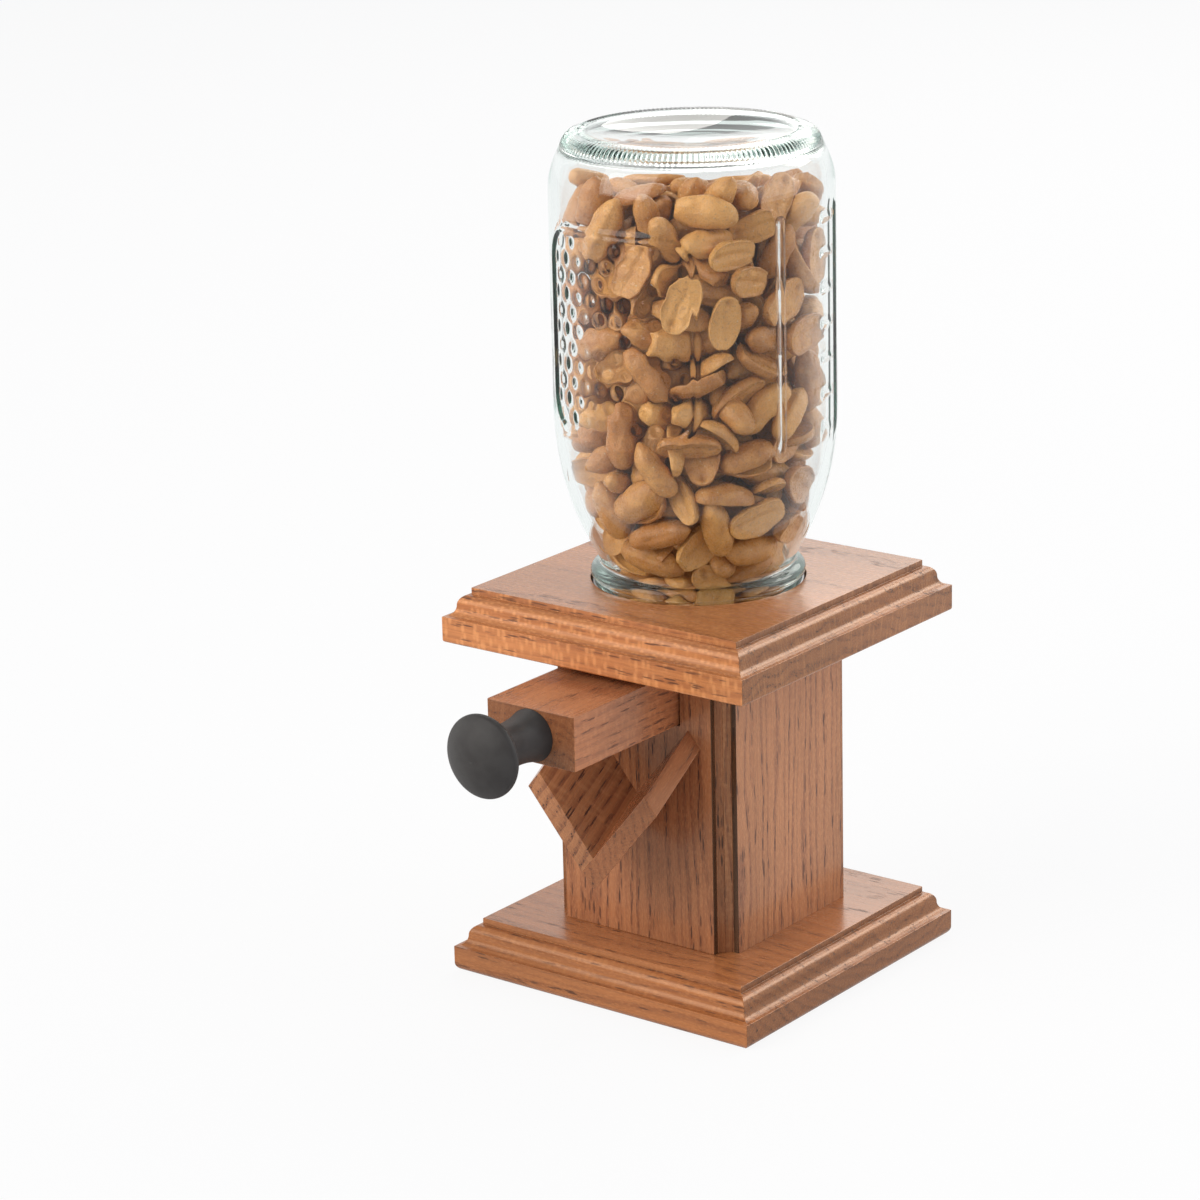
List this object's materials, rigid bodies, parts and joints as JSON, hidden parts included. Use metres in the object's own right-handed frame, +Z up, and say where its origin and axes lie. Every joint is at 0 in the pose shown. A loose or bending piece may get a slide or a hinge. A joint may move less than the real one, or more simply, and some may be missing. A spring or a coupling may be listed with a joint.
{
  "type": "candy dispenser",
  "caption": "Free-standing wooden dispenser: an inverted glass jar on a moulded stand, with a pull slide whose pocket drops a small portion into a V-shaped chute.",
  "frame": {"origin": "centre of the base plate's underside, on the jar's axis", "axes": "+Z up along the jar's axis, -Y towards the front, where the knob and the chute are, +X to the right of someone facing the front"},
  "size_m": [0.127, 0.1905, 0.2975],
  "materials": {
    "oak": "satin",
    "bare_wood": "matte",
    "glass": "gloss",
    "knob_black": "matte",
    "zinc": "satin",
    "brass": "satin",
    "seal": "matte",
    "nuts": "matte"
  },
  "bodies": {
    "stand": {"base_plate": "oak", "top_plate": "oak", "front_board": "oak", "back_board": "oak", "left_board": "oak", "right_board": "oak", "slide_bed": "bare_wood", "bed_cleat_left": "bare_wood", "bed_cleat_right": "bare_wood", "stop_pin": "bare_wood", "chute_left_arm": "oak", "chute_right_arm": "oak", "chute_dowels": "bare_wood", "jar_lid": "zinc", "lid_screws": "brass", "base_screws": "zinc"},
    "slide": {"slide_bar": "oak", "knob": "knob_black", "knob_stud": "zinc"},
    "seal": {"jar_seal": "seal"},
    "jar": {"jar": "glass"}
  },
  "joints": [
    {"name": "slide_pull", "type": "slide", "parent": "stand", "child": "slide", "axis": [0, 1, 0], "range_m": [-0.007, 0.0435]},
    {"name": "jar_turn", "type": "hinge", "parent": "stand", "child": "seal", "pos_m": [0, 0, 0.1261], "axis": [0, 0, 1], "range_deg": [0, 450]},
    {"name": "jar_rise", "type": "slide", "parent": "seal", "child": "jar", "axis": [0, 0, 1], "range_m": [0, 0.0064]}
  ],
  "couplings": [
    {"joint": "jar_rise", "follows": "jar_turn", "m_per_rad": 0.00080851}
  ]
}
